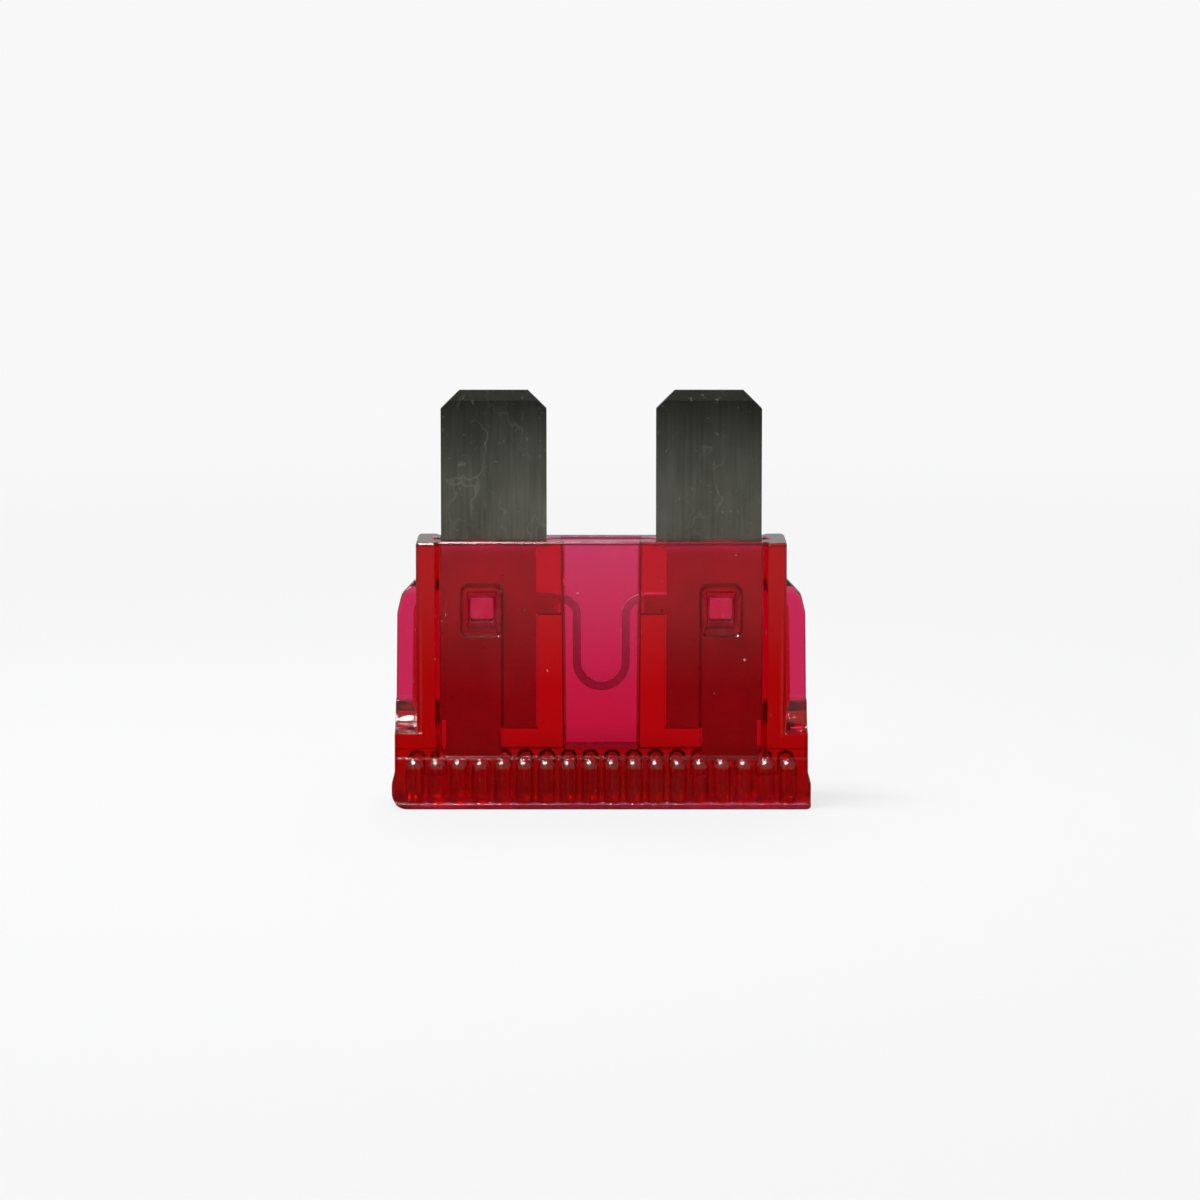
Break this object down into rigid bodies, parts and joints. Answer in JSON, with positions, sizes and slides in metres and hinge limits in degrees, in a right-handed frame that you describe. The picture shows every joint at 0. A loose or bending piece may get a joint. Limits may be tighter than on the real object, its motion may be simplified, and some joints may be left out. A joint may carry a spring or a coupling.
{
  "type": "automotive blade fuse",
  "caption": "Plug-in car fuse: a see-through red moulded housing with ridged grip and side fins, holding one metal strip with two flat blades and a thin curved link.",
  "frame": {"origin": "middle of the housing's flat head face, on which the fuse stands", "axes": "+Z along the blades, away from the housing; X across the fuse's width, from blade to blade; Y through its thickness"},
  "size_m": [0.019, 0.0052, 0.019],
  "materials": {
    "clear_red_plastic": "moulded see-through red plastic, magenta where it is thin and deep red where it is thick, glossy with faint wear",
    "dull_zinc": "dull dark grey zinc alloy, stamped, with faint upright scratches and smudges"
  },
  "bodies": {
    "root": {"housing": "clear_red_plastic", "fuse_strip": "dull_zinc"}
  },
  "joints": []
}
